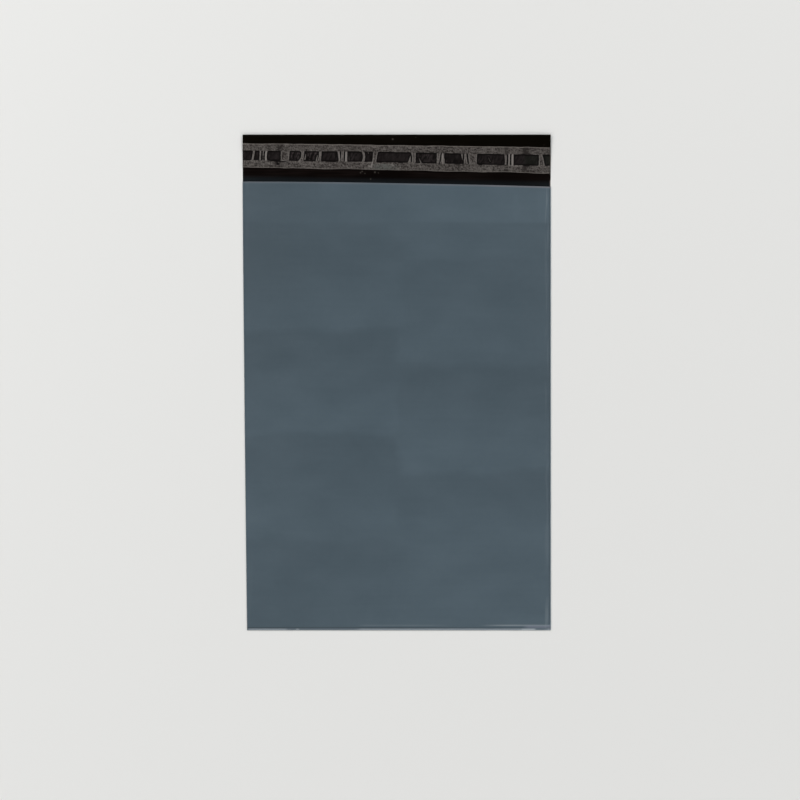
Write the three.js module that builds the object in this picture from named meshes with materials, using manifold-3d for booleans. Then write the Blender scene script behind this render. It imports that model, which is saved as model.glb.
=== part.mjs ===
// Poly mailer: one web of two-colour film folded at the bottom and welded down both
// sides, with a lip past the mouth that carries a glue strip under a release liner.
// It lies on its back: X across the bag, Y towards the lip, Z up, in millimetres.
// The origin is on the ground under the middle of the bag's outline.

import * as THREE from "three";
import { mergeVertices } from "three/addons/utils/BufferGeometryUtils.js";
import Module from "manifold-3d";

// Outline of the bag
const BAG_WIDTH = 330;
const BODY_LENGTH = 478; // bottom fold to the middle of the mouth
const LIP_LENGTH = 52; // middle of the mouth to the lip's cut edge
const MOUTH_SKEW = 5.5; // how much lower the mouth ends on the right than on the left
const SIDE_LEAN = 5; // how far the left side has run in where it meets the bottom

// Film: grey outside, black inside
const GREY_LAYER = 0.03;
const BLACK_LAYER = 0.03;
const FOLD_OPENING = 0.4; // free height between the two panels along fold and welds

// Side welds, cut and sealed in one pass by a hot knife
const WELD_WIDTH = 1.2;
const WELD_MARGIN = 1; // film that stays flat beside a weld
const BEAD_STEPS = 5;

// Air between the panels, and the soft bands across the front panel
const AIR_HEIGHT = 9;
const MOUTH_HEIGHT = 8;
const SIDE_POWER = 2.5; // how square the pillow is from side to side
const FOLD_POWER = 4; // how quickly it rises from the bottom fold
const BAND_HEIGHT = 0.7;
const BAND_PITCH = 108;
const BAND_SHIFT = 38; // the right half's bands lie this much lower than the left half's
const BAND_SHIFT_WIDTH = 0.2; // share of the width over which the bands step down

// Lip
const LIP_CURL = 1.6; // rise of the film by the lip's cut edge

// Glue strip and release liner, measured up from the mouth
const LINER_FROM_MOUTH = 13.5;
const LINER_WIDTH = 27.5;
const LINER_THICKNESS = 0.04;
const LINER_RISE = 0.3; // how far the liner stands off where it hasn't stuck
const LINER_EDGE_WAVE = 0.6;
const LINER_EDGE_WAVE_LENGTH = 74;
const LINER_EDGE_SHIFT = 0.4; // turns of the wave between the two long edges
const GLUE_WIDTH = 11;
const GLUE_THICKNESS = 0.05;
const CLEARANCE = 0.02; // film to glue, and glue to liner

// Where the liner has stuck down, from left to right: [stuck, standing off] lengths
const STUCK_RUN = [
  [10.9, 1.6], [5, 7.9], [15.1, 9.7], [12.2, 2.4], [16.4, 2.6], [19.3, 8.9], [16.5, 2.1],
  [8.8, 4.2], [36.7, 4.2], [23.2, 7.9], [21.3, 13.1], [30, 9.5], [27.3, 4.8],
];
const STUCK_EDGE = 0.8; // length of the slope round a stuck window
const STUCK_LEAN = 1.5; // most that a window's ends lean off square
const STUCK_LEAN_STEP = 2.4; // turn of the lean from one window to the next, in radians

// Mesh steps
const PANEL_COLUMNS = 14;
const PANEL_ROWS = 36;
const BACK_ROWS = 3;
const FOLD_STEPS = 6;

const FILM = GREY_LAYER + BLACK_LAYER;
const EDGE_THICKNESS = FOLD_OPENING + 2 * FILM;
const EDGE_RADIUS = EDGE_THICKNESS / 2;
const LIP_END = (BODY_LENGTH + LIP_LENGTH) / 2;
const FOLD_END = -LIP_END;
const FOLD_CENTRE = FOLD_END + EDGE_RADIUS;
const MOUTH_MIDDLE = FOLD_END + BODY_LENGTH;
const GLUE_FROM_MOUTH = LINER_FROM_MOUTH + (LINER_WIDTH - GLUE_WIDTH) / 2;
const GLUE_TOP = GLUE_FROM_MOUTH + GLUE_WIDTH;
const FLAT_SHARE = (WELD_WIDTH + WELD_MARGIN) / BAG_WIDTH; // flat film beside each side

const share = (steps) => Array.from({ length: steps + 1 }, (_, i) => i / steps);

// Sides of the film at height y; the weld bead's round edge stands outside them
const leftSide = (y) =>
  -BAG_WIDTH / 2 + EDGE_RADIUS + (SIDE_LEAN * (LIP_END - y)) / (LIP_END - FOLD_END);
const rightSide = () => BAG_WIDTH / 2 - EDGE_RADIUS;

// A point of the bag by its share of the width from the left, its y and its z
const across = (s, y, z) =>
  new THREE.Vector3(THREE.MathUtils.lerp(leftSide(y), rightSide(), s), y, z);

const mouthAt = (s) => MOUTH_MIDDLE + MOUTH_SKEW * (0.5 - s);

// Heights of the lip are set on these lines, at their distances past the mouth
const LIP_LINES = [
  0,
  LINER_FROM_MOUTH,
  GLUE_FROM_MOUTH,
  GLUE_TOP,
  LINER_FROM_MOUTH + LINER_WIDTH,
  LIP_END - mouthAt(1),
];
const lipCurve = (past) => LIP_CURL * (past / LIP_LENGTH) ** 2;

// Rise of the lip's underside, straight from one line to the next
function lipRise(past) {
  const next = Math.max(1, LIP_LINES.findIndex((line) => past <= line));
  const [low, high] = [LIP_LINES[next - 1], LIP_LINES[next]];
  const along = (past - low) / (high - low);
  return THREE.MathUtils.lerp(lipCurve(low), lipCurve(high), along);
}

// Height of the air under the front panel, v running from the bottom fold to the mouth
function airAt(s, v) {
  const inside = THREE.MathUtils.clamp((s - FLAT_SHARE) / (1 - 2 * FLAT_SHARE), 0, 1);
  const swell = 1 - Math.abs(2 * inside - 1) ** SIDE_POWER;
  const rise = 1 - (1 - v) ** FOLD_POWER;
  const pillow = AIR_HEIGHT + (MOUTH_HEIGHT - AIR_HEIGHT) * v ** 2;
  const step = THREE.MathUtils.smoothstep(
    s, 0.5 - BAND_SHIFT_WIDTH / 2, 0.5 + BAND_SHIFT_WIDTH / 2);
  const y = v * BODY_LENGTH + BAND_SHIFT * step;
  const band = BAND_HEIGHT * Math.sin((2 * Math.PI * y) / BAND_PITCH);
  return swell * rise * (pillow + band);
}

// The film's surface at a depth under its grey outside, as columns of points that run
// from the lip's cut edge down the back, round the fold and up the front to the mouth
function webSurface(depth) {
  const inner = share(PANEL_COLUMNS).map((f) =>
    THREE.MathUtils.lerp(FLAT_SHARE, 1 - FLAT_SHARE, f));
  return [0, ...inner, 1].map((s) => {
    const mouth = mouthAt(s);
    const lip = [LIP_END - mouth, ...LIP_LINES.slice(0, -1).reverse()].map((past) =>
      across(s, mouth + past, lipRise(past) + depth));
    const back = share(BACK_ROWS).slice(1, -1).map((v) =>
      across(s, THREE.MathUtils.lerp(mouth, FOLD_CENTRE, v), depth));
    const fold = share(FOLD_STEPS).map((turn) => {
      const angle = Math.PI * (turn - 0.5);
      const radius = EDGE_RADIUS - depth;
      const y = FOLD_CENTRE - radius * Math.cos(angle);
      return across(s, y, EDGE_RADIUS + radius * Math.sin(angle));
    });
    const front = share(PANEL_ROWS).slice(1).map((v) =>
      across(s, THREE.MathUtils.lerp(FOLD_CENTRE, mouth, v),
        EDGE_THICKNESS - depth + airAt(s, v)));
    return [...lip, ...back, ...fold, ...front];
  });
}

// A closed body between two grids of points, the first of which faces out
function sheetBetween(outside, inside) {
  const columns = outside.length;
  const rows = outside[0].length;
  const corners = [];
  const quad = (a, b, c, d) => corners.push(a, b, c, a, c, d);
  for (let i = 1; i < columns; i++)
    for (let j = 1; j < rows; j++) {
      const ring = [[i - 1, j - 1], [i, j - 1], [i, j], [i - 1, j]];
      quad(...ring.map(([p, q]) => outside[p][q]));
      // The same diagonal as outside, so that layers lie true on each other
      const [a, b, c, d] = ring.map(([p, q]) => inside[p][q]);
      quad(c, b, a, d);
    }
  const wall = (p, q) =>
    quad(inside[p[0]][p[1]], inside[q[0]][q[1]], outside[q[0]][q[1]], outside[p[0]][p[1]]);
  for (let i = 1; i < columns; i++) {
    wall([i - 1, 0], [i, 0]);
    wall([i, rows - 1], [i - 1, rows - 1]);
  }
  for (let j = 1; j < rows; j++) {
    wall([columns - 1, j - 1], [columns - 1, j]);
    wall([0, j], [0, j - 1]);
  }
  return mergeVertices(new THREE.BufferGeometry().setFromPoints(corners));
}

// One side's weld: film melted together, with a round bead along its outer edge
function weldBar(side) {
  const s = side < 0 ? 0 : 1;
  const profile = share(BEAD_STEPS).slice(1).map((turn) => {
    const angle = (Math.PI / 2) * turn;
    return [-EDGE_RADIUS * Math.cos(angle), EDGE_RADIUS * Math.sin(angle)];
  });
  profile.push([WELD_WIDTH - EDGE_RADIUS, EDGE_RADIUS]);
  if (side > 0) profile.reverse();
  const surface = (up) =>
    profile.map(([inward, high]) =>
      [FOLD_END + EDGE_RADIUS / 2, mouthAt(s) - EDGE_RADIUS / 2].map((y) => {
        const point = across(s, y, EDGE_RADIUS + up * high);
        point.x -= side * inward;
        return point;
      }));
  return sheetBetween(surface(1), surface(-1));
}

const wasm = await Module();
wasm.setup();

function solidOf(geometry) {
  return new wasm.Manifold(new wasm.Mesh({
    numProp: 3,
    vertProperties: geometry.getAttribute("position").array,
    triVerts: new Uint32Array(geometry.index.array),
  }));
}

function geometryOf(solid) {
  const mesh = solid.getMesh();
  return new THREE.BufferGeometry()
    .setAttribute("position", new THREE.BufferAttribute(mesh.vertProperties, 3))
    .setIndex(new THREE.BufferAttribute(mesh.triVerts, 1));
}

const welds = [-1, 1].map((side) => solidOf(weldBar(side)));

// Outer layer: the grey film, with both welds in its colour
function greyFilm() {
  const web = solidOf(sheetBetween(webSurface(0), webSurface(GREY_LAYER)));
  return geometryOf(welds.reduce((solid, weld) => solid.add(weld), web));
}

// Inner layer: the black film, which the welds take up along the sides
function blackFilm() {
  const web = solidOf(sheetBetween(webSurface(GREY_LAYER), webSurface(FILM)));
  return geometryOf(welds.reduce((solid, weld) => solid.subtract(weld), web));
}

// A point over the lip by its share of the width, its distance past the mouth and its
// height above the black film
function overLip(s, past, height) {
  return across(s, mouthAt(s) + past, lipRise(past) + FILM + height);
}

// Glue: a flat band of hot melt from side to side of the lip
function glueStrip() {
  const surface = (height) =>
    share(PANEL_COLUMNS).map((s) =>
      [GLUE_FROM_MOUTH, GLUE_TOP].map((past) => overLip(s, past, height)));
  return sheetBetween(surface(CLEARANCE + GLUE_THICKNESS), surface(CLEARANCE));
}

// The liner's stations from left to right: how far along, how stuck down, how it leans
function linerStations() {
  const stations = [];
  let start = 0;
  for (let i = 0; start < BAG_WIDTH; i++) {
    const [stuck, off] = STUCK_RUN[i % STUCK_RUN.length];
    const end = Math.min(start + stuck, BAG_WIDTH);
    const lean = STUCK_LEAN * Math.sin(STUCK_LEAN_STEP * i);
    if (start > 0) stations.push({ at: start, down: 0, lean });
    stations.push({ at: start > 0 ? start + STUCK_EDGE : 0, down: 1, lean: start && lean });
    if (end < BAG_WIDTH) {
      stations.push({ at: end - STUCK_EDGE, down: 1, lean: -lean });
      stations.push({ at: end, down: 0, lean: -lean });
    } else {
      stations.push({ at: BAG_WIDTH, down: 1, lean: 0 });
    }
    start = end + off;
  }
  const last = stations[stations.length - 1];
  if (last.at < BAG_WIDTH) stations.push({ at: BAG_WIDTH, down: 0, lean: 0 });
  return stations;
}

// Liner: a thin band that has stuck down in windows and stands off round them
function releaseLiner() {
  const rows = [
    { past: LINER_FROM_MOUTH, down: 0, edge: -1 },
    { past: GLUE_FROM_MOUTH, down: 0, edge: 0 },
    { past: GLUE_FROM_MOUTH + STUCK_EDGE, down: 1, edge: 0 },
    { past: GLUE_TOP - STUCK_EDGE, down: 1, edge: 0 },
    { past: GLUE_TOP, down: 0, edge: 0 },
    { past: LINER_FROM_MOUTH + LINER_WIDTH, down: 0, edge: 1 },
  ];
  const surface = (height) =>
    linerStations().map(({ at, down, lean }) =>
      rows.map((row) => {
        const turns = at / LINER_EDGE_WAVE_LENGTH + (LINER_EDGE_SHIFT / 2) * row.edge;
        const wave = LINER_EDGE_WAVE * row.edge * Math.sin(2 * Math.PI * turns);
        const tilt = lean * ((row.past - GLUE_FROM_MOUTH) / GLUE_WIDTH - 0.5);
        const off = LINER_RISE * (1 - down * row.down);
        return overLip((at + tilt) / BAG_WIDTH, row.past + wave, height + off);
      }));
  const floor = CLEARANCE + GLUE_THICKNESS + CLEARANCE;
  return sheetBetween(surface(floor + LINER_THICKNESS), surface(floor));
}

function piece(name, geometry, color, roughness) {
  geometry.computeVertexNormals();
  const material = new THREE.MeshStandardMaterial({ color, roughness, metalness: 0 });
  const mesh = new THREE.Mesh(geometry, material);
  mesh.name = name;
  return mesh;
}

const mailer = new THREE.Group();
mailer.name = "poly_mailer";
mailer.add(
  piece("grey_film", greyFilm(), 0x4b5860, 0.5),
  piece("black_film", blackFilm(), 0x0b0706, 0.45),
  piece("glue_strip", glueStrip(), 0x2a2420, 0.3),
  piece("release_liner", releaseLiner(), 0x504b47, 0.35),
);

export default mailer;
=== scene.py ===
"""Poly mailer lying on its back: a bag of grey and black film with welded sides, an
open mouth, and a lip with a glue strip under its release liner. Lengths are in metres,
X across the bag, Y from the bottom fold towards the lip, Z up."""

import math

import bmesh
import bpy
from bpy.props import FloatProperty, FloatVectorProperty, PointerProperty
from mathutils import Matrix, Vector, noise


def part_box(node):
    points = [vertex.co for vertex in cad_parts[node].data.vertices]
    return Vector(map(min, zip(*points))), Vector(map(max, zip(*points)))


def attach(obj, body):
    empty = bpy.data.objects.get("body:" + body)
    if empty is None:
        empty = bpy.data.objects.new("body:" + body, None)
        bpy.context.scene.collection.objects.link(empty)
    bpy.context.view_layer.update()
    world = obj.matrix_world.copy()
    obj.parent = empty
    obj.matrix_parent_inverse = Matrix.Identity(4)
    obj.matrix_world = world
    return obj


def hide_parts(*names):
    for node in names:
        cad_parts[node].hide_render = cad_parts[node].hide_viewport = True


bl_info = {
    "name": "Poly Mailer",
    "version": (1, 0, 0),
    "blender": (4, 5, 0),
    "location": "3D View > Sidebar > Mailer",
    "description": "Builds a film mailing bag, its release liner and a pale studio",
    "category": "Mesh",
}

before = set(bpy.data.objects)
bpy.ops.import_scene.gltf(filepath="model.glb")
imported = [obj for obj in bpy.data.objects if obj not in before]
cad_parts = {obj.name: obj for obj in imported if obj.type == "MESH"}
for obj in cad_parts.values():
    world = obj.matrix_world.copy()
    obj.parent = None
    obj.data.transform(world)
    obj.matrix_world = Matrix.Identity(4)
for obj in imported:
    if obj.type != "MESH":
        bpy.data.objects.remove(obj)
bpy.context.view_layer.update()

MM = 0.001

# Outline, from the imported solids
FILM_LOW, FILM_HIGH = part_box("grey_film")
GLUE_LOW, GLUE_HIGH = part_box("glue_strip")
FOLD_END = FILM_LOW.y
LIP_END = FILM_HIGH.y
HALF_WIDTH = FILM_HIGH.x

# Bag
BODY_LENGTH = 478 * MM
MOUTH_SKEW = 5.5 * MM
SIDE_LEAN = 5 * MM
SIDE_BEND = 1.3
EDGE_RADIUS = 0.26 * MM
FOLD_CENTRE = FOLD_END + EDGE_RADIUS
MOUTH_MIDDLE = FOLD_END + BODY_LENGTH
AIR_HEIGHT = 9 * MM
MOUTH_HEIGHT = 8 * MM
SIDE_POWER = 2.5
FOLD_POWER = 4
BAND_SHIFT = 38 * MM
BAND_SHIFT_WIDTH = 0.2
TONE_EDGE = 90.7 * MM
WELD_MARGIN = 1 * MM

# How far the raised front panel ends short of the solids' mouth
MOUTH_RETREAT = 0.8 * MM

# Fineness of the meshes
WELD_STEPS = 240
WELD_SIDES = 16
LINER_COLUMNS = 780

# Lip, glue and liner, measured up from the mouth
LIP_CURL = 1.6 * MM
LIP_LENGTH = LIP_END - MOUTH_MIDDLE
GLUE_WIDTH = GLUE_HIGH.y - GLUE_LOW.y - MOUTH_SKEW
GLUE_MIDDLE = (GLUE_HIGH.y + GLUE_LOW.y) / 2 - MOUTH_MIDDLE
GLUE_TOP = 0.13 * MM
LINER_WIDTH = 27.5 * MM
CLEARANCE = 0.02 * MM
LINER_CRUMPLE = 0.07 * MM
LINER_EDGE_CURL = 0.25 * MM

# Where the liner has stuck down on the glue, in millimetres from its left end: start
# and end at half height, how far the top of each leans right, how far each bows right
STUCK_WINDOWS = [
    (-2.0, 10.4, 0.0, 1.7, 0.0, 0.0),
    (12.4, 18.1, 2.1, 0.4, 0.0, 0.0),
    (19.7, 21.5, 0.5, 0.4, 0.0, 0.0),
    (22.7, 24.3, 1.0, 1.0, -0.6, -0.6),
    (26.6, 40.8, 0.8, 0.1, -0.8, 0.0),
    (49.8, 60.8, 0.9, 2.6, 0.0, 1.9),
    (65.3, 81.0, 1.4, 1.8, 0.0, 0.4),
    (84.0, 102.1, 0.7, -1.3, 0.0, 0.0),
    (103.9, 105.2, -0.9, 0.5, 0.0, 0.0),
    (108.0, 109.5, 0.6, 0.6, 0.0, 0.0),
    (111.8, 127.4, 0.3, 0.0, 0.0, 1.2),
    (129.6, 139.1, 0.0, 0.9, 1.3, 0.0),
    (143.6, 180.2, 2.1, -0.8, 0.0, 0.9),
    (184.8, 207.5, 0.3, 0.0, 0.0, 0.0),
    (210.7, 212.2, 1.9, 1.7, 0.0, 0.0),
    (215.5, 236.7, -0.5, 0.2, 0.0, 0.0),
    (239.6, 241.5, -1.4, -1.4, 0.0, 0.0),
    (250.2, 279.9, 0.3, -0.3, 0.0, 0.4),
    (281.9, 283.8, 0.3, 0.3, 0.3, 0.3),
    (285.6, 287.3, 0.3, 0.3, -0.3, -0.3),
    (289.4, 316.7, 0.2, 0.2, 0.0, 0.0),
    (321.6, 332.0, -2.7, 0.0, 0.0, 0.0),
]
CORNER_ROUNDING = 1.1

# How far from a window's ends its depth is still worked out, in millimetres
WINDOW_REACH = 6.0

# Height of the windows at the liner's left and right end, and how far their row bows
# up in the middle, in millimetres
WINDOW_HEIGHTS = (10.5, 12.0)
WINDOW_ROW_BOW = 0.6

# Pale creases in the windows, bright creases beside them that are painted highlights,
# and dark strings of glue, in millimetres: along, up from the windows' middle and half
# width, at each of two ends
PALE_CREASES = [
    (67.5, 1.9, 0.3, 66.5, -3.4, 0.65),
    (79.9, 0.9, 0.25, 78.6, -5.6, 0.75),
    (113.6, 3.8, 0.1, 113.7, -3.8, 0.25),
    (179.3, 1.9, 0.1, 178.1, -6.4, 1.6),
    (188.4, -0.4, 0.2, 191.3, -7.0, 0.7),
    (234.2, 5.4, 0.9, 235.1, -1.4, 0.15),
    (262.5, 1.8, 0.12, 264.6, -2.2, 0.3),
    (134.2, 4.4, 0.45, 134.6, 3.2, 0.2),
]
BRIGHT_CREASES = [
    (138.6, -5.4, 0.5, 137.6, -10.6, 0.8),
    (134.6, -9.6, 0.5, 136.0, -10.4, 0.6),
    (213.6, 4.8, 0.3, 213.8, -5.2, 0.5),
    (284.8, 5.8, 0.35, 284.9, -6.6, 0.35),
    (288.3, 5.6, 0.35, 288.5, -6.6, 0.35),
    (25.1, 5.0, 0.3, 24.9, -5.0, 0.4),
    (103.2, 5.0, 0.3, 104.3, -3.6, 0.4),
    (110.6, 4.6, 0.3, 110.4, -5.0, 0.4),
    (158.4, -8.2, 0.3, 161.6, -8.8, 0.3),
]
GLUE_STRINGS = [
    (30.4, -5.3, 0.6, 48.4, -6.7, 0.55),
    (35.9, -5.6, 0.7, 37.6, -8.4, 0.5),
    (37.2, -8.7, 1.2, 38.6, -9.0, 0.9),
    (85.2, -5.0, 0.45, 99.5, -5.9, 0.4),
    (143.4, -5.7, 0.4, 149.0, -6.1, 0.3),
    (166.0, -5.9, 0.3, 171.0, -6.3, 0.5),
    (252.4, -5.9, 0.6, 256.0, -6.3, 0.5),
    (300.0, -6.0, 0.4, 306.0, -6.5, 0.5),
]

# Specks of dust and glue on the lip, in millimetres: x, y and radius
LIP_SPECKS = [
    (-38.6, 224.4, 1.2),
    (-36.9, 225.8, 1.2),
    (-33.9, 223.6, 0.9),
    (-23.2, 224.9, 1.5),
    (-27.8, 217.6, 1.2),
    (-19.5, 224.2, 0.9),
    (-4.2, 260.1, 1.4),
]

# Darker smears across the liner, in millimetres: x and reach either side; and strength
LINER_SMEARS = [
    (-125.5, 7.5, 0.35),
    (117.5, 5.5, 0.2),
    (137.5, 6.0, 0.55),
]

# Studio lamps: place in metres and share of the lamp power
LAMPS = {
    "key": ((-1.7, 1.7, 1.5), 1.5),
    "fill_right": ((1.9, 1.4, 1.4), 1.0),
    "fill_front": ((1.3, -2.0, 1.4), 0.8),
    "fill_left": ((-1.9, -1.4, 1.4), 0.8),
}

# Camera's sensor in millimetres, and how far the floor reaches each way in metres
SENSOR_WIDTH = 36
FLOOR_REACH = 60


def shade(red, green, blue):
    """A colour as it reads on screen, from 0 to 255, as the renderer's linear colour."""
    def linear(value):
        value /= 255
        return value / 12.92 if value <= 0.04045 else ((value + 0.055) / 1.055) ** 2.4
    return tuple(linear(value) for value in (red, green, blue))


def scaled(colour, factor):
    return tuple(factor * value for value in colour)


def smooth(low, high, value):
    share = min(max((value - low) / (high - low), 0.0), 1.0)
    return share * share * (3 - 2 * share)


def mix(low, high, share):
    return low + (high - low) * share


def bell(value, middle, width):
    return math.exp(-(((value - middle) / width) ** 2))


# Shape of the bag

def left_side(y):
    """The bag's left side, which leans in towards the bottom fold."""
    share = max(LIP_END - y, 0.0) / (LIP_END - FOLD_END)
    return EDGE_RADIUS - HALF_WIDTH + SIDE_LEAN * share ** SIDE_BEND


def right_side():
    return HALF_WIDTH - EDGE_RADIUS


def across(s, y, z):
    """A point by its share of the bag's width from the left, its y and its z."""
    return Vector((mix(left_side(y), right_side(), s), y, z))


def mouth_at(s):
    return MOUTH_MIDDLE + MOUTH_SKEW * (0.5 - s)


LIP_LINES = [
    0.0,
    GLUE_MIDDLE - LINER_WIDTH / 2,
    GLUE_MIDDLE - GLUE_WIDTH / 2,
    GLUE_MIDDLE + GLUE_WIDTH / 2,
    GLUE_MIDDLE + LINER_WIDTH / 2,
    LIP_END - mouth_at(1),
]


def lip_curve(past):
    return LIP_CURL * (past / LIP_LENGTH) ** 2


def lip_rise(past):
    """Rise of the lip's underside, straight from one of the lip's lines to the next."""
    upper = next((i for i, line in enumerate(LIP_LINES) if i and past <= line), -1)
    low, high = LIP_LINES[upper - 1], LIP_LINES[upper]
    return mix(lip_curve(low), lip_curve(high), (past - low) / (high - low))


def air_at(s, v, film):
    """Height of the front panel's air, v running from the bottom fold to the mouth."""
    margin = (film.weld_width + WELD_MARGIN) / (2 * HALF_WIDTH)
    inside = min(max((s - margin) / (1 - 2 * margin), 0.0), 1.0)
    swell = 1 - abs(2 * inside - 1) ** SIDE_POWER
    rise = 1 - (1 - v) ** FOLD_POWER
    pillow = AIR_HEIGHT + (MOUTH_HEIGHT - AIR_HEIGHT) * v * v
    step = smooth(0.5 - BAND_SHIFT_WIDTH / 2, 0.5 + BAND_SHIFT_WIDTH / 2, s)
    turns = (v * BODY_LENGTH + BAND_SHIFT * step) / film.band_pitch
    return swell * rise * (pillow + film.band_height * math.sin(2 * math.pi * turns))


def spread(start, end, pitch):
    """Evenly spaced values from start up to end, which is left out."""
    count = max(1, round((end - start) / pitch))
    return [mix(start, end, i / count) for i in range(count)]


def film_columns():
    """Shares of the width, close together beside the welds."""
    width = right_side() - left_side(0)
    near_side = [0, 0.5, 1.0, 1.5, 2.0, 2.6, 3.4, 4.0, 4.6, 5.4, 6.6, 8.4]
    sides = [distance * MM / width for distance in near_side]
    start = 11 * MM / width
    middle = spread(start, 1 - start, 3.2 * MM / width)
    return sides + middle + [1 - start] + [1 - share for share in reversed(sides)]


def film_rows():
    """Stations along the web: the lip, the back panel, the fold and the front panel."""
    rows = [("lip", past) for past in spread(0.0, 1.0, 0.035)]
    rows += [("back", v) for v in spread(0.0, 1.0, 0.02)]
    rows += [("fold", turn) for turn in spread(0.0, 1.0, 0.125)]
    near_fold = [0, 0.4, 0.9, 1.5, 2.2, 3.0, 3.9, 5.0, 6.2, 7.6, 9.2]
    near_mouth = [8, 6, 4.2, 2.8, 1.8, 1.0, 0.5, 0]
    rows += [("front", distance * MM / BODY_LENGTH) for distance in near_fold]
    rows += [("front", v) for v in spread(11 * MM / BODY_LENGTH, 0.98, 0.0065)]
    rows += [("front", 1 - distance * MM / BODY_LENGTH) for distance in near_mouth]
    return rows


def side_relief(point, s, width):
    """Fine relief of the front panel beside the welds: a crease, then a soft ridge."""
    distance = min(s, 1 - s) * width
    strength = 0.35 if s < 0.5 else 1.0
    waver = 0.6 + 0.4 * noise.noise(Vector((7.0 * s, point.y * 28, 3.0)))
    crease = -0.16 * MM * bell(distance, 1.7 * MM, 0.5 * MM)
    ridge = 0.08 * MM * bell(distance, 3.4 * MM, 0.8 * MM)
    return strength * waver * (crease + ridge)


def film_point(zone, along, s, depth, film):
    """A point of the web, part of the way along one of its zones, at a depth under its
    grey outside."""
    mouth = mouth_at(s)
    if zone == "lip":
        past = mix(LIP_END - mouth, 0.0, along)
        return across(s, mouth + past, lip_rise(past) + depth)
    if zone == "back":
        return across(s, mix(mouth, FOLD_CENTRE, along), depth)
    if zone == "fold":
        angle = math.pi * (along - 0.5)
        radius = EDGE_RADIUS - depth
        y = FOLD_CENTRE - radius * math.cos(angle)
        return across(s, y, EDGE_RADIUS + radius * math.sin(angle))
    y = mix(FOLD_CENTRE, mouth - MOUTH_RETREAT, along)
    point = across(s, y, 2 * EDGE_RADIUS - depth + air_at(s, along, film))
    point.z += side_relief(point, s, right_side() - left_side(y)) * smooth(0, 0.02, along)
    return point


# Shader maths

class Wire:
    """A socket of a material, so that shader maths is written as arithmetic."""

    def __init__(self, paint, socket):
        self.paint = paint
        self.socket = socket

    def maths(self, operation, *values):
        return self.paint.node(
            "ShaderNodeMath", {"operation": operation}, dict(enumerate(values)))

    def __add__(self, other):
        return self.maths("ADD", self, other)

    def __sub__(self, other):
        return self.maths("SUBTRACT", self, other)

    def __rsub__(self, other):
        return self.maths("SUBTRACT", other, self)

    def __mul__(self, other):
        return self.maths("MULTIPLY", self, other)

    def __truediv__(self, other):
        return self.maths("DIVIDE", self, other)

    __radd__ = __add__
    __rmul__ = __mul__

    def size(self):
        return self.maths("ABSOLUTE", self)

    def fraction(self):
        return self.maths("FRACT", self)

    def near(self, middle, width):
        """1 at the middle, falling smoothly to 0 at a width either side of it."""
        return 1.0 - (self - middle).size().smooth(0.0, width)

    def between(self, start, full, fade, end):
        """0 up to start, 1 from full to fade, and 0 again from end on."""
        return self.smooth(start, full) * (1.0 - self.smooth(fade, end))

    def smooth(self, low, high):
        """0 up to low, 1 from high on, and a smooth step between them."""
        return self.paint.node(
            "ShaderNodeMapRange", {"interpolation_type": "SMOOTHSTEP"},
            {"Value": self, "From Min": low, "From Max": high})


class Paint:
    """The node tree of a material or of the world, built call by call."""

    def __init__(self, owner):
        owner.use_nodes = True
        self.owner = owner
        self.tree = owner.node_tree
        self.tree.nodes.clear()

    def node(self, kind, settings=None, inputs=None, output=0):
        """Adds a node, sets it, fills its inputs, and gives one output back if it has any."""
        made = self.tree.nodes.new(kind)
        for name, value in (settings or {}).items():
            setattr(made, name, value)
        for name, value in (inputs or {}).items():
            if isinstance(value, Wire):
                self.tree.links.new(value.socket, made.inputs[name])
            else:
                made.inputs[name].default_value = value
        return Wire(self, made.outputs[output]) if made.outputs else None

    def blend(self, share, first, second):
        """A colour between two colours."""
        first, second = (
            colour if isinstance(colour, Wire) else (*colour, 1.0)
            for colour in (first, second))
        return self.node(
            "ShaderNodeMix", {"data_type": "RGBA"},
            {0: share, 6: first, 7: second}, output=2)

    def place(self):
        return self.node("ShaderNodeTexCoord", output="Object")

    def clouds(self, scale, detail=2.0, stretch=(1, 1, 1), warp=0.0, turn=0):
        """Noise around 0.5, in features per metre, after a turn in degrees about Z."""
        turned = self.node(
            "ShaderNodeMapping", {"vector_type": "POINT"},
            {"Vector": self.place(), "Rotation": (0, 0, math.radians(turn))})
        spot = self.node(
            "ShaderNodeVectorMath", {"operation": "MULTIPLY"}, {0: turned, 1: stretch})
        return self.node(
            "ShaderNodeTexNoise", None,
            {"Vector": spot, "Scale": scale, "Detail": detail, "Distortion": warp})

    def coordinate(self, axis):
        return self.node("ShaderNodeSeparateXYZ", None, {0: self.place()}, output=axis)

    def measured(self, name):
        """A float attribute of the piece."""
        return self.node("ShaderNodeAttribute", {"attribute_name": name}, output="Fac")

    def seen(self):
        """1 for what the camera sees by itself or in a reflection, 0 for other light."""
        direct = self.node("ShaderNodeLightPath", output="Is Camera Ray")
        return direct + self.node("ShaderNodeLightPath", output="Is Glossy Ray")

    def bump(self, height, distance, strength):
        return self.node(
            "ShaderNodeBump", None,
            {"Height": height, "Distance": distance, "Strength": strength})

    def plastic(self, colour, roughness, normal, specular):
        """A plastic surface as the whole material."""
        surface = self.node("ShaderNodeBsdfPrincipled", None, {
            "Base Color": colour,
            "Roughness": roughness,
            "Normal": normal,
            "Specular IOR Level": specular,
        })
        self.node("ShaderNodeOutputMaterial", None, {"Surface": surface})
        return self.owner


def new_paint(name):
    return Paint(bpy.data.materials.new(name))


# Finishes

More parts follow.
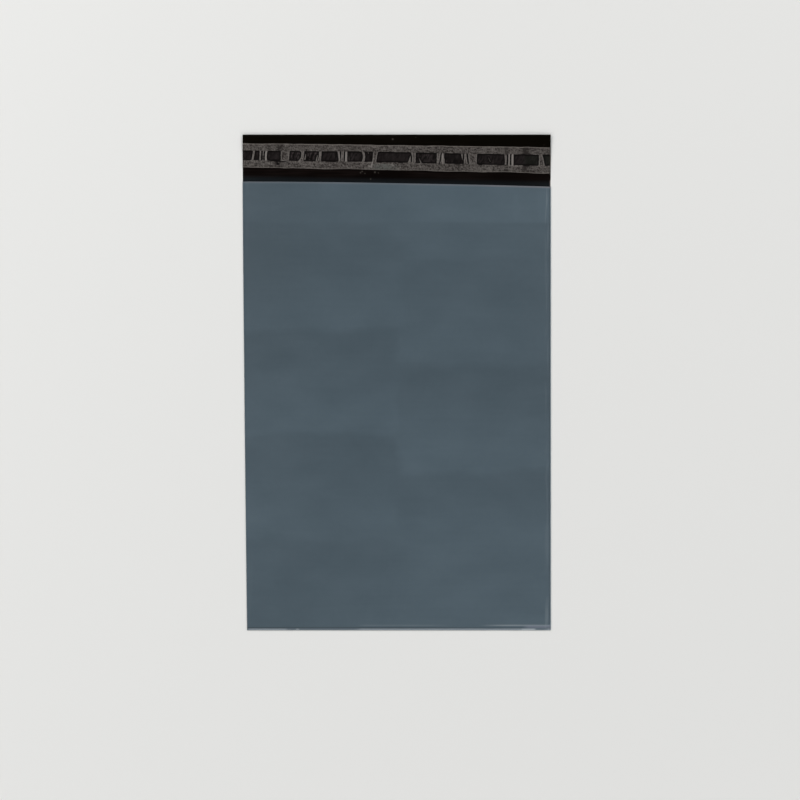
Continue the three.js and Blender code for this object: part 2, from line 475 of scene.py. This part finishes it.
def band_light_and_tone(paint, film):
    """Soft bands across the web, each sharp below, lower in the right half than the left:
    partly painted light and shade of the front panel's soft waves, partly the film's own tone.
    """
    x = paint.coordinate("X")
    y = paint.coordinate("Y")
    sway = (paint.clouds(14.0, 3.0, stretch=(1.0, 0.4, 1.0)) - 0.5) * 0.025
    right = (x + (paint.clouds(30.0, 2.0) - 0.5) * 0.06).smooth(-0.004, 0.012)

    def half(shift):
        phase = ((y + sway + shift - FOLD_END - TONE_EDGE) / film.tone_pitch).fraction()
        lit = 1.0 - phase.smooth(0.2, 0.45) * 0.4 - phase.smooth(0.45, 0.8) * 0.6
        return lit * phase.smooth(0.0, 0.09)

    bands = half(0.0) * (1.0 - right) + half(BAND_SHIFT) * right
    return bands * paint.clouds(9.0, stretch=(0.5, 1.3, 1.0)) * 2.0


def grey_tone(paint, film, x, y, smudges, die_lines):
    """How light the grey is, from 0 to 1: bands that are partly painted light and shade,
    patches, smudges and fine lines, with painted light and shade across the panel and a
    painted highlight on the bottom right corner.
    """
    patches = paint.clouds(5.0, stretch=(0.7, 1.6, 1.0))
    mottle = paint.clouds(190.0, 3.0)
    right_half = x.smooth(-0.02, 0.03)
    calm = 1.0 - (1.0 - y.smooth(-0.20, -0.14)) * (0.5 + right_half * 0.5)
    calm = calm * (1.0 - y.smooth(0.04, 0.12) * 0.55)
    share = 0.45 + (band_light_and_tone(paint, film) - 0.4) * calm * 0.36 + (patches - 0.5) * 0.4
    share = share + (smudges - 0.5) * 0.6 + (die_lines - 0.5) * 0.25 + (mottle - 0.5) * 0.25
    # Painted light and shade: lighter towards the bottom, most on the right, and darker at the
    # bottom left corner, over the upper left and along the far left above the middle
    low = (1.0 - y.smooth(-0.20, -0.02)) * (0.15 + right_half * 0.2)
    corner_shade = (1.0 - y.smooth(-0.25, -0.2)) * (1.0 - x.smooth(-0.12, -0.03)) * 0.15
    high = y.smooth(0.06, 0.15) * (1.0 - x.smooth(-0.04, 0.06)) * 0.14
    far_left = y.smooth(-0.02, 0.06) * (1.0 - x.smooth(-0.14, -0.06)) * 0.25
    share = share + low - corner_shade - high - far_left
    top = y.smooth(0.1690, 0.1722) * (0.1 + x.smooth(-0.04, 0.09) * 0.3)
    streaks = x.near(0.1275, 0.004) * y.between(0.171, 0.176, 0.195, 0.205) * 0.25
    corner = x.near(0.1572, 0.008) * y.between(0.170, 0.186, 0.195, 0.207) * 0.8
    # Painted highlight on the bottom right corner by the fold
    low_corner_highlight = (y - FOLD_END).near(0.0, 0.022) * x.smooth(0.11, 0.16) * 0.8
    return share + top + streaks + corner + low_corner_highlight


def side_marks(paint, colour, x, y):
    """The film beside the welds: painted shade in a groove, a painted highlight on the rim and
    pale threads, all stronger on the right, lit side.
    """
    from_side = paint.measured("from_side") / MM
    # The painted marks beside the welds show far more on the right side, where the light falls
    strength = 0.15 + x.smooth(-0.02, 0.02) * 0.85
    groove_shade = from_side.between(0.5, 0.9, 1.5, 2.0) * strength
    rim = from_side.between(-0.6, -0.3, 0.45, 0.8) * strength
    thread = paint.clouds(420.0, 2.0, stretch=(1.0, 0.06, 1.0)).smooth(0.46, 0.6)
    threads = from_side.between(2.1, 2.7, 5.0, 7.0) * thread * strength
    near_ends = y.smooth(0.14, 0.19) + (1.0 - y.smooth(-0.25, -0.2))
    # Painted shade in the groove, then a painted highlight on the rim
    colour = paint.blend(groove_shade * 0.5, colour, shade(50, 60, 67))
    colour = paint.blend(rim * 0.75, colour, shade(132, 146, 154))
    return paint.blend(threads * (0.12 + near_ends * 0.22), colour, shade(122, 133, 140))


def fold_marks(paint, colour, x, smudges):
    """The film by the bottom fold: a painted shadow, a painted highlight along the fold
    crease, a pale line a little above it on the right, and a painted highlight on the right
    corner.
    """
    from_fold = paint.measured("from_fold").size() / MM
    # How strongly the painted highlight on the fold crease shows across the width
    fold_glint = (
        x.between(-0.160, -0.157, -0.119, -0.116) * 0.45
        + x.near(-0.106, 0.003) * 0.6
        + x.between(-0.045, -0.036, 0.146, 0.150) * 0.45
        + x.between(0.132, 0.137, 0.146, 0.150) * 0.7
        + x.smooth(0.160, 0.162) * 0.5)
    # Painted shadow a little above the fold, and a painted highlight on the fold crease
    shadow = from_fold.between(1.5, 2.0, 2.6, 3.8)
    crease = from_fold.between(0.2, 0.6, 1.3, 1.7) * (0.3 + fold_glint)
    # A pale line 4 to 6 mm above the fold, mostly on the right
    pale_line_span = x.smooth(0.085, 0.115) + x.between(-0.045, -0.03, 0.03, 0.06) * 0.3
    pale_line = from_fold.between(4.0, 4.6, 5.5, 6.1) * pale_line_span
    # Painted highlight on the bottom right corner
    fold_corner_highlight = from_fold.between(1.9, 2.6, 4.4, 5.6) * x.smooth(0.133, 0.142)
    depth = 0.55 - x.smooth(0.02, 0.09) * 0.2
    colour = paint.blend(shadow * depth, colour, shade(52, 60, 66))
    colour = paint.blend(crease * 0.8, colour, shade(176, 184, 190))
    colour = paint.blend(pale_line * (0.35 + smudges * 0.7), colour, shade(128, 138, 144))
    return paint.blend(fold_corner_highlight * 0.5, colour, shade(128, 134, 148))


def mouth_mark(paint, colour, x, smudges):
    """A painted highlight along the front panel's cut edge, stronger towards the right."""
    from_mouth = paint.measured("from_mouth") / MM
    # Painted highlight along the cut edge
    cut_edge = from_mouth.between(-0.5, 0.0, 1.0, 2.3) * (0.2 + smudges)
    cut_edge = cut_edge * (0.3 + x.smooth(0.0, 0.15) * 0.4)
    return paint.blend(cut_edge, colour, shade(128, 124, 128))


def grey_film_paint(film):
    """Grey face of the film: soft bands, fine die lines, painted light and shade, and painted
    highlights and shade along its edges.
    """
    paint = new_paint("grey_film_face")
    x = paint.coordinate("X")
    y = paint.coordinate("Y")
    smudges = paint.clouds(26.0, 3.0, stretch=(0.8, 1.5, 1.0))
    die_lines = paint.clouds(260.0, 3.0, stretch=(0.03, 1.0, 1.0))
    tone = grey_tone(paint, film, x, y, smudges, die_lines)
    colour = paint.blend(tone, scaled(film.grey, 0.84), scaled(film.grey, 1.17))
    colour = side_marks(paint, colour, x, y)
    colour = fold_marks(paint, colour, x, smudges)
    colour = mouth_mark(paint, colour, x, smudges)
    height = die_lines * 0.5 + paint.clouds(900.0, 2.0) * 0.12
    roughness = 0.44 + (smudges - 0.5) * 0.15
    return paint.plastic(
        colour, roughness, paint.bump(height, 0.02 * MM, 0.5), specular=0.35)


def black_film_paint(film):
    """Black face of the film: near black, with faint streaks, a few dust specks, painted light
    reflected from the grey front panel by the mouth, and a paler mark on the right edge there.
    """
    paint = new_paint("black_film_face")
    x = paint.coordinate("X")
    y = paint.coordinate("Y")
    streaks = paint.clouds(420.0, 3.0, stretch=(0.05, 1.0, 1.0))
    haze = paint.clouds(25.0, 2.0)
    lower = 1.0 - y.smooth(0.228, 0.236)
    colour = paint.blend(lower, shade(6, 4, 1), film.black)
    share = ((streaks - 0.42) * 2.0 + (haze - 0.5) * 0.7) * (1.0 - x.smooth(0.03, 0.14) * 0.75)
    colour = paint.blend(share * (0.2 + lower * 0.8), colour, shade(30, 23, 21))

    from_mouth = paint.measured("from_mouth") / MM
    # Painted light reflected from the grey front panel onto the black film by the mouth
    front_panel_reflection = from_mouth.between(-8.0, -1.5, 2.0, 6.0) * (0.85 - x.smooth(0.03, 0.14) * 0.2)
    colour = paint.blend(front_panel_reflection, colour, shade(27, 32, 35))
    from_side = paint.measured("from_side") / MM
    # Paler along the right edge just above the mouth
    pale_right_edge = from_mouth.between(-7.5, -6.0, 0.0, 1.0) * (1.0 - from_side.smooth(0.4, 1.0))
    colour = paint.blend(pale_right_edge * x.smooth(0.0, 0.01), colour, shade(150, 140, 140))

    specks = paint.clouds(380.0, 1.0, warp=0.6).smooth(0.78, 0.84) * 0.4
    for across_bag, up_bag, radius in LIP_SPECKS:
        reach = radius * MM
        specks = specks + x.near(across_bag * MM, reach) * y.near(up_bag * MM, reach) * 0.7
    colour = paint.blend(specks, colour, shade(88, 84, 78))
    roughness = 0.33 + (haze - 0.5) * 0.1
    return paint.plastic(
        colour, roughness, paint.bump(streaks, 0.02 * MM, 0.4), specular=0.1)


def weld_paint(film):
    """Film that has melted together: darker and glossier, with a painted highlight on its cut
    edge.
    """
    paint = new_paint("melted_film")
    inward = paint.measured("inward")
    lumps = paint.clouds(160.0, 3.0, stretch=(1.0, 0.5, 1.0))
    x = paint.coordinate("X")
    lit = 0.12 + x.smooth(-0.02, 0.02) * 0.88
    # Painted highlight along the bead's cut edge, strong on the right and faint on the left
    edge_highlight = inward.between(-0.1, 0.05, 0.6, 0.85) * lit
    colour = paint.blend(
        edge_highlight * (0.4 + lumps * 0.5), scaled(film.grey, 0.62), shade(150, 164, 172))
    roughness = 0.26 + lumps * 0.16
    return paint.plastic(
        colour, roughness, paint.bump(lumps, 0.1 * MM, 0.4), specular=0.4)


def loose_liner(paint, x, y, lines, grain, patches):
    """Colour of the liner where it stands off the glue: hazy, hatched and smeared, with
    painted highlights on the taut strips by the windows and on bright creases.
    """
    hatch = paint.clouds(800.0, 2.0, stretch=(1.2, 0.5, 1.0), turn=-25)
    share = 0.37 + (lines - 0.5) * 1.6 + (hatch - 0.5) * 1.8 + (grain - 0.5) * 1.4
    share = share + (patches - 0.5) * 0.5
    for across_bag, reach, strength in LINER_SMEARS:
        share = share - x.near(across_bag * MM, reach * MM) * strength
    colour = paint.blend(share, shade(40, 36, 34), shade(106, 101, 97))
    damp = x.near(-0.013, 0.022) * (1.0 - y.smooth(0.233, 0.2345))
    colour = paint.blend(damp * grain.smooth(0.3, 0.6) * 0.7, colour, shade(92, 95, 91))
    # Painted highlight on the taut strips by the windows and on the bright creases
    colour = paint.blend(paint.measured("rim") * 0.8, colour, shade(127, 122, 118))
    cut_edge = 1.0 - paint.measured("edge").smooth(0.3, 1.1)
    return paint.blend(cut_edge * 0.6, colour, shade(114, 108, 103))


def stuck_liner(paint, liner, x, inside, patches):
    """Colour of the liner where it has stuck to the glue, with a black outline."""
    wetting = paint.clouds(520.0, 2.0, stretch=(1.3, 0.35, 1.0), warp=0.6, turn=18)
    restless = 0.3 + x.between(-0.118, -0.114, -0.087, -0.082) * 1.1
    restless = restless + paint.clouds(24.0, 1.0).smooth(0.45, 0.62) * 0.45
    share = 0.17 + (wetting - 0.5) * restless * 3.0 + (patches - 0.5) * 0.3
    black = scaled(liner.stuck, 0.2)
    colour = paint.blend(share, black, shade(64, 58, 58))
    colour = paint.blend(x.smooth(0.135, 0.139) * 0.5, colour, shade(25, 28, 23))
    return paint.blend(inside.between(-0.1, 0.1, 1.0, 2.0), colour, black)


def liner_paint(liner):
    """Hazy liner: pale where it stands off the glue, dark where it has stuck down."""
    paint = new_paint("release_liner_film")
    x = paint.coordinate("X")
    y = paint.coordinate("Y")
    inside = paint.measured("inside")
    lines = paint.clouds(760.0, 3.0, stretch=(0.25, 1.0, 1.0), warp=0.5)
    grain = paint.clouds(620.0, 3.0, warp=0.8)
    patches = paint.clouds(26.0, 2.0)
    loose = loose_liner(paint, x, y, lines, grain, patches)
    stuck = stuck_liner(paint, liner, x, inside, patches)
    colour = paint.blend(inside.smooth(-0.15, 0.2), loose, stuck)
    roughness = 0.42 - inside.smooth(-0.1, 0.2) * 0.08 + (grain - 0.5) * 0.1
    height = lines * 0.6 + grain * 0.4
    return paint.plastic(
        colour, roughness, paint.bump(height, 0.05 * MM, 0.5), specular=0.18)


def floor_paint(stage):
    """Pale floor that takes the bag's shadow and fades into an even backdrop far out."""
    paint = new_paint("pale_floor")
    near = paint.node("ShaderNodeBsdfDiffuse", None, {"Color": (*stage.floor, 1.0)})
    even = paint.node("ShaderNodeEmission", None, {"Color": (*stage.far_floor, 1.0)})
    distance = paint.node(
        "ShaderNodeVectorMath", {"operation": "LENGTH"}, {0: paint.place()}, output="Value")
    far = distance.smooth(0.7, 1.7) * paint.seen()
    surface = paint.node("ShaderNodeMixShader", None, {0: far, 1: near, 2: even})
    paint.node("ShaderNodeOutputMaterial", None, {"Surface": surface})
    return paint.owner


def glue_paint():
    """Hot melt: a dark glossy amber with drawn-out lines."""
    paint = new_paint("hot_melt")
    lines = paint.clouds(120.0, 3.0, stretch=(0.08, 1.0, 1.0))
    colour = paint.blend(lines, shade(34, 27, 22), shade(58, 47, 36))
    return paint.plastic(
        colour, 0.18 + lines * 0.14, paint.bump(lines, 0.05 * MM, 0.6), specular=0.4)


# Pieces

def keep_piece(mesh_maker, name, material, thickness=None):
    """Turns a finished bmesh into a smooth piece that rides on the bag's one body."""
    mesh = bpy.data.meshes.new(name)
    mesh_maker.to_mesh(mesh)
    mesh_maker.free()
    piece = bpy.data.objects.new(name, mesh)
    bpy.context.scene.collection.objects.link(piece)
    mesh.materials.append(material)
    mesh.shade_smooth()
    if thickness:
        shell = piece.modifiers.new("thickness", "SOLIDIFY")
        shell.thickness = thickness
        shell.offset = -1
    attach(piece, "root")
    return piece


def unit_grid(columns, rows, *measures):
    """A flat grid, its vertices with their column and row, and its float attributes."""
    mesh_maker = bmesh.new()
    layers = [mesh_maker.verts.layers.float.new(name) for name in measures]
    bmesh.ops.create_grid(
        mesh_maker, x_segments=columns - 1, y_segments=rows - 1, size=0.5)
    numbered = [
        (vert, round((vert.co.x + 0.5) * (columns - 1)), round((vert.co.y + 0.5) * (rows - 1)))
        for vert in mesh_maker.verts]
    return mesh_maker, numbered, layers


def film_layer(name, depth, thickness, material):
    """One colour of the web as a sheet folded over the bag's shape."""
    film = bpy.context.scene.mailer_film
    columns = film_columns()
    rows = film_rows()
    mesh_maker, numbered, (from_fold, from_side, from_mouth) = unit_grid(
        len(columns), len(rows), "from_fold", "from_side", "from_mouth")
    for vert, column, row in numbered:
        s = columns[column]
        zone, along = rows[row]
        vert.co = film_point(zone, along, s, depth, film)
        width = right_side() - left_side(vert.co.y)
        vert[from_fold] = 0.0 if zone == "fold" else vert.co.y - FOLD_CENTRE
        vert[from_side] = min(s, 1 - s) * width
        if zone == "front":
            vert[from_mouth] = BODY_LENGTH * (1 - along)
        elif depth:
            vert[from_mouth] = mouth_at(s) - MOUTH_RETREAT - vert.co.y
        else:
            # The back's grey face takes no marks of the mouth
            vert[from_mouth] = BODY_LENGTH
    return keep_piece(mesh_maker, name, material, thickness)


class MAILER_OT_film(bpy.types.Operator):
    """Build the grey and the black layer of the film bag"""
    bl_idname = "mailer.film"
    bl_label = "Film bag"

    def execute(self, context):
        film = context.scene.mailer_film
        layer = film.thickness / 2
        grey = film_layer("grey_layer", 0.0, layer, grey_film_paint(film))
        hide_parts("grey_film")
        black = film_layer("black_layer", layer, layer, black_film_paint(film))
        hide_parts("black_film")
        return {"FINISHED"}


def weld_bead(side, film):
    """One side's weld: a round bead along the cut edge that runs out into the film."""
    s = 0 if side < 0 else 1
    start = FOLD_END + 0.5 * EDGE_RADIUS
    end = mouth_at(s) - MOUTH_RETREAT - 0.5 * EDGE_RADIUS
    mesh_maker = bmesh.new()
    inward = mesh_maker.verts.layers.float.new("inward")
    bmesh.ops.create_cone(
        mesh_maker, cap_ends=True, segments=WELD_SIDES, radius1=1, radius2=1, depth=1)
    lengthwise = [
        edge for edge in mesh_maker.edges
        if abs(edge.verts[0].co.z - edge.verts[1].co.z) > 0.5]
    bmesh.ops.subdivide_edges(
        mesh_maker, edges=lengthwise, cuts=WELD_STEPS - 1, use_grid_fill=True)
    for vert in mesh_maker.verts:
        along = vert.co.z + 0.5
        inner, high = vert.co.x, vert.co.y
        y = mix(start, end, along)
        waver = noise.noise(Vector((side * 5.0, y * 170, 0.0)))
        swell = 1 + 0.12 * waver
        reach = EDGE_RADIUS * inner
        if inner > 0:
            reach = (film.weld_width - EDGE_RADIUS) * inner * (1 + 0.15 * waver)
            high *= mix(1.0, 0.55, inner)
        point = across(s, y, EDGE_RADIUS + EDGE_RADIUS * high * min(swell, 1.0))
        point.x -= side * reach
        vert.co = point
        vert[inward] = (reach + EDGE_RADIUS) / film.weld_width
    bmesh.ops.recalc_face_normals(mesh_maker, faces=mesh_maker.faces)
    return mesh_maker


class MAILER_OT_welds(bpy.types.Operator):
    """Build the melted bead along each side of the bag"""
    bl_idname = "mailer.welds"
    bl_label = "Side welds"

    def execute(self, context):
        film = context.scene.mailer_film
        material = weld_paint(film)
        for side, name in ((-1, "left_weld"), (1, "right_weld")):
            keep_piece(weld_bead(side, film), name, material)
        return {"FINISHED"}


class MAILER_OT_glue(bpy.types.Operator):
    """Give the glue strip its finish"""
    bl_idname = "mailer.glue"
    bl_label = "Glue strip"

    def execute(self, context):
        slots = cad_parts["glue_strip"].material_slots
        if not slots:
            raise RuntimeError("the glue strip has no material slot")
        material = glue_paint()
        for slot in slots:
            slot.material = material
        return {"FINISHED"}


def stroke_depth(along, up, stroke):
    """How far a spot lies inside a tapered straight stroke, or outside it if below 0."""
    x1, y1, half1, x2, y2, half2 = stroke
    run = Vector((x2 - x1, y2 - y1))
    offset = Vector((along - x1, up - y1))
    share = min(max(offset.dot(run) / run.length_squared, 0.0), 1.0)
    return mix(half1, half2, share) - (offset - run * share).length


def window_depth(along, up, half):
    """How far a spot lies inside the nearest stuck window, or outside it if below 0.

    along is from the liner's left end, up and half from the windows' middle, all in
    millimetres.
    """
    ragged = 0.35 * noise.noise(Vector((along * 0.22, up * 0.08, 4.0)))
    over = half - abs(up) + ragged
    tilt = up / (2 * half)
    bulge = 1 - 4 * tilt * tilt
    best = -WINDOW_REACH
    for start, end, lean_in, lean_out, bow_in, bow_out in STUCK_WINDOWS:
        if along < start - WINDOW_REACH or along > end + WINDOW_REACH:
            continue
        jitter = 0.25 * noise.noise(Vector((start, up * 0.45, 1.0)))
        left = along - (start + lean_in * tilt + bow_in * bulge + jitter)
        right = end + lean_out * tilt + bow_out * bulge - jitter - along
        side = min(left, right)
        round_corner = min(CORNER_ROUNDING, (end - start) / 3)
        if side < round_corner and over < round_corner:
            depth = round_corner - math.hypot(round_corner - side, round_corner - over)
        else:
            depth = min(side, over)
        best = max(best, depth)
    best = max([best] + [stroke_depth(along, up, string) for string in GLUE_STRINGS])
    return min([best] + [-stroke_depth(along, up, crease) for crease in PALE_CREASES])


def window_rim(along, up, half, depth):
    """Painted highlight on the taut strip just outside a window's two ends, and on the bright
    creases.
    """
    level = smooth(0.0, 1.2, half - abs(up))
    strip = level * smooth(-1.5, -0.5, depth) * (1 - smooth(-0.25, 0.0, depth))
    crease = max(stroke_depth(along, up, stroke) for stroke in BRIGHT_CREASES)
    return 0.6 * strip + smooth(-0.5, 0.2, crease)


def liner_rows():
    """Shares of the liner's width, close together over the windows."""
    margin = 0.26
    coarse, fine = 0.034, 0.0135
    return (
        spread(0.0, margin, coarse) + spread(margin, 1 - margin, fine)
        + spread(1 - margin, 1.0, coarse) + [1.0])


def liner_point(s, v, width, liner):
    """A point of the liner by its shares along and across, and its three measures."""
    along = s * width / MM
    end = 2 * v - 1
    edge_number = 9.0 * round(v)
    wave = noise.noise(Vector((along * 0.03, edge_number, 2.0)))
    flutter = noise.noise(Vector((along * 0.12, edge_number, 5.0)))
    sway = liner.edge_wave * (wave + 0.35 * flutter) * abs(end) ** 3
    half_width = liner.width / 2 + liner.taper * (s - 0.5)
    up = end * half_width + sway
    from_row = up / MM - WINDOW_ROW_BOW * bell(s, 0.45, 0.22)
    half = mix(*WINDOW_HEIGHTS, s) / 2
    depth = window_depth(along, from_row, half)
    stuck = smooth(-0.5, 0.7, depth)
    crumple = LINER_CRUMPLE * noise.noise(Vector((along * 0.35, from_row * 0.5, 7.0)))
    curl = LINER_EDGE_CURL * abs(end) ** 4
    off = (liner.rise + curl + 1.6 * crumple) * (1 - stuck)
    off += max(crumple, 0) * 0.5 * stuck
    past = GLUE_MIDDLE + up
    height = lip_rise(past) + GLUE_TOP + CLEARANCE + liner.thickness + off
    inside = max(-3.0, min(3.0, depth))
    rim = window_rim(along, from_row, half, depth)
    edge = (1 - abs(end)) * half_width / MM
    return across(s, mouth_at(s) + past, height), inside, rim, edge


class MAILER_OT_liner(bpy.types.Operator):
    """Build the release liner, stuck to the glue in windows and standing off round them"""
    bl_idname = "mailer.liner"
    bl_label = "Release liner"

    def execute(self, context):
        liner = context.scene.mailer_liner
        rows = liner_rows()
        mesh_maker, numbered, (inside, rim, edge) = unit_grid(
            LINER_COLUMNS, len(rows), "inside", "rim", "edge")
        width = right_side() - left_side(MOUTH_MIDDLE)
        for vert, column, row in numbered:
            s = column / (LINER_COLUMNS - 1) * (1 - liner.shortfall / width)
            vert.co, vert[inside], vert[rim], vert[edge] = liner_point(
                s, rows[row], width, liner)
        piece = keep_piece(
            mesh_maker, "liner_band", liner_paint(liner), liner.thickness)
        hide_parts("release_liner")
        return {"FINISHED"}


# Stage

def add_camera(stage, scene):
    """The camera straight above the bag."""
    camera = bpy.data.objects.new("camera", bpy.data.cameras.new("camera"))
    camera.data.lens = stage.lens
    camera.data.sensor_width = SENSOR_WIDTH
    height = stage.frame_width * stage.lens / SENSOR_WIDTH
    camera.location = (stage.centre_x, stage.centre_y, height)
    scene.collection.objects.link(camera)
    scene.camera = camera


def add_lamps(stage, scene):
    """Large soft lamps round the bag, each aimed at its middle."""
    for name, (spot, share) in LAMPS.items():
        lamp = bpy.data.objects.new(name, bpy.data.lights.new(name, "AREA"))
        lamp.data.shape = "DISK"
        lamp.data.size = stage.lamp_size
        lamp.data.energy = stage.lamp_power * share
        lamp.location = spot
        lamp.rotation_euler = (-lamp.location).to_track_quat("-Z", "Y").to_euler()
        scene.collection.objects.link(lamp)


def add_world(stage, scene):
    """Light from round the horizon, and an even backdrop where the camera sees it."""
    world = bpy.data.worlds.new("studio")
    scene.world = world
    sky = Paint(world)
    way = sky.node("ShaderNodeTexCoord", output="Generated")
    climb = sky.node("ShaderNodeSeparateXYZ", None, {0: way}, output="Z")
    low_sky = 1.0 - climb.smooth(0.25, 0.7)
    colour = sky.blend(low_sky, stage.high_sky, stage.backdrop)
    direct = sky.node("ShaderNodeLightPath", output="Is Camera Ray")
    colour = sky.blend(direct, colour, stage.far_floor)
    light = sky.node("ShaderNodeBackground", None, {"Color": colour, "Strength": 1.0})
    sky.node("ShaderNodeOutputWorld", None, {"Surface": light})


def add_floor(stage, scene):
    """The pale floor, which belongs to the stage and isn't a piece."""
    mesh_maker = bmesh.new()
    bmesh.ops.create_grid(mesh_maker, x_segments=1, y_segments=1, size=FLOOR_REACH)
    mesh = bpy.data.meshes.new("floor")
    mesh_maker.to_mesh(mesh)
    mesh_maker.free()
    floor = bpy.data.objects.new("floor", mesh)
    scene.collection.objects.link(floor)
    mesh.materials.append(floor_paint(stage))


class MAILER_OT_stage(bpy.types.Operator):
    """Set up the camera over the bag, the soft lamps, the world and the pale floor"""
    bl_idname = "mailer.stage"
    bl_label = "Studio"

    def execute(self, context):
        scene = context.scene
        scene.view_settings.view_transform = "Standard"
        for add in (add_camera, add_lamps, add_world, add_floor):
            add(scene.mailer_stage, scene)
        return {"FINISHED"}


# Settings, panel and registration

class MailerFilm(bpy.types.PropertyGroup):
    thickness: FloatProperty(
        name="Film thickness", description="Both layers of the film together",
        default=0.06 * MM, unit="LENGTH", precision=6)
    weld_width: FloatProperty(
        name="Weld width", description="Width of the melted edge",
        default=1.2 * MM, unit="LENGTH", precision=5)
    band_height: FloatProperty(
        name="Band height", description="Height of the soft bands on the front panel",
        default=0.7 * MM, unit="LENGTH", precision=5)
    band_pitch: FloatProperty(
        name="Band pitch", description="Distance from one soft band to the next",
        default=108 * MM, unit="LENGTH")
    tone_pitch: FloatProperty(
        name="Tone pitch", description="Distance from one band of tone to the next",
        default=113 * MM, unit="LENGTH")
    grey: FloatVectorProperty(
        name="Grey", description="Colour of the film's outside",
        default=shade(76, 90, 99), subtype="COLOR", min=0, max=1)
    black: FloatVectorProperty(
        name="Black", description="Colour of the film's inside",
        default=shade(9, 5, 4), subtype="COLOR", min=0, max=1)


class MailerLiner(bpy.types.PropertyGroup):
    thickness: FloatProperty(
        name="Liner thickness", description="Thickness of the release liner",
        default=0.04 * MM, unit="LENGTH", precision=6)
    rise: FloatProperty(
        name="Rise", description="How far the liner stands off where it hasn't stuck",
        default=0.3 * MM, unit="LENGTH", precision=5)
    edge_wave: FloatProperty(
        name="Edge wave", description="How far the liner's long edges wander",
        default=0.9 * MM, unit="LENGTH", precision=5)
    width: FloatProperty(
        name="Width", description="Width of the liner in the middle of the lip",
        default=26.7 * MM, unit="LENGTH", precision=5)
    shortfall: FloatProperty(
        name="Shortfall", description="How far the liner ends before the right side",
        default=0.8 * MM, unit="LENGTH", precision=5)
    taper: FloatProperty(
        name="Taper", description="How much wider the liner lies at its right end",
        default=1.0 * MM, unit="LENGTH", precision=5)
    stuck: FloatVectorProperty(
        name="Stuck colour", description="Colour where the liner has stuck to the glue",
        default=shade(32, 26, 25), subtype="COLOR", min=0, max=1)


class MailerStage(bpy.types.PropertyGroup):
    lens: FloatProperty(
        name="Lens", description="Focal length in millimetres", default=85)
    frame_width: FloatProperty(
        name="Frame width", description="Width of the floor that the camera sees",
        default=0.8557, unit="LENGTH")
    centre_x: FloatProperty(
        name="Centre X", description="Where the camera stands across the bag",
        default=0.0036, unit="LENGTH", precision=4)
    centre_y: FloatProperty(
        name="Centre Y", description="Where the camera stands along the bag",
        default=-0.0187, unit="LENGTH", precision=4)
    lamp_power: FloatProperty(
        name="Lamp power", description="Power of one lamp at a share of 1, in watts",
        default=28.4)
    lamp_size: FloatProperty(
        name="Lamp size", description="Diameter of each lamp's disk",
        default=2.0, unit="LENGTH")
    backdrop: FloatVectorProperty(
        name="Low sky", description="Colour of the light from round the horizon",
        default=(0.9, 0.9, 0.9), subtype="COLOR", min=0, max=1)
    high_sky: FloatVectorProperty(
        name="High sky", description="Colour of the light from overhead",
        default=(0.004, 0.004, 0.004), subtype="COLOR", min=0, max=1)
    floor: FloatVectorProperty(
        name="Floor", description="Colour of the floor",
        default=shade(236, 236, 234), subtype="COLOR", min=0, max=1)
    far_floor: FloatVectorProperty(
        name="Far floor", description="Even colour of the floor and backdrop far out",
        default=shade(236, 236, 234), subtype="COLOR", min=0, max=1)


class MAILER_PT_panel(bpy.types.Panel):
    """Lists the settings and the steps that build the mailer"""
    bl_idname = "MAILER_PT_panel"
    bl_label = "Poly mailer"
    bl_space_type = "VIEW_3D"
    bl_region_type = "UI"
    bl_category = "Mailer"

    def draw(self, context):
        for group, steps in PANEL_ROWS:
            box = self.layout.box()
            settings = getattr(context.scene, group)
            for name in settings.__annotations__:
                box.prop(settings, name)
            for step in steps:
                box.operator(step.bl_idname)


PANEL_ROWS = (
    ("mailer_film", (MAILER_OT_film, MAILER_OT_welds)),
    ("mailer_liner", (MAILER_OT_glue, MAILER_OT_liner)),
    ("mailer_stage", (MAILER_OT_stage,)),
)
GROUPS = {
    "mailer_film": MailerFilm,
    "mailer_liner": MailerLiner,
    "mailer_stage": MailerStage,
}
CLASSES = (
    *GROUPS.values(), MAILER_OT_film, MAILER_OT_welds, MAILER_OT_glue,
    MAILER_OT_liner, MAILER_OT_stage, MAILER_PT_panel,
)


def register():
    for cls in CLASSES:
        bpy.utils.register_class(cls)
    for name, group in GROUPS.items():
        setattr(bpy.types.Scene, name, PointerProperty(type=group))


def unregister():
    for name in GROUPS:
        delattr(bpy.types.Scene, name)
    for cls in reversed(CLASSES):
        bpy.utils.unregister_class(cls)


def main():
    register()
    bpy.ops.mailer.stage()
    bpy.ops.mailer.film()
    bpy.ops.mailer.welds()
    bpy.ops.mailer.glue()
    bpy.ops.mailer.liner()


if __name__ == "__main__":
    main()
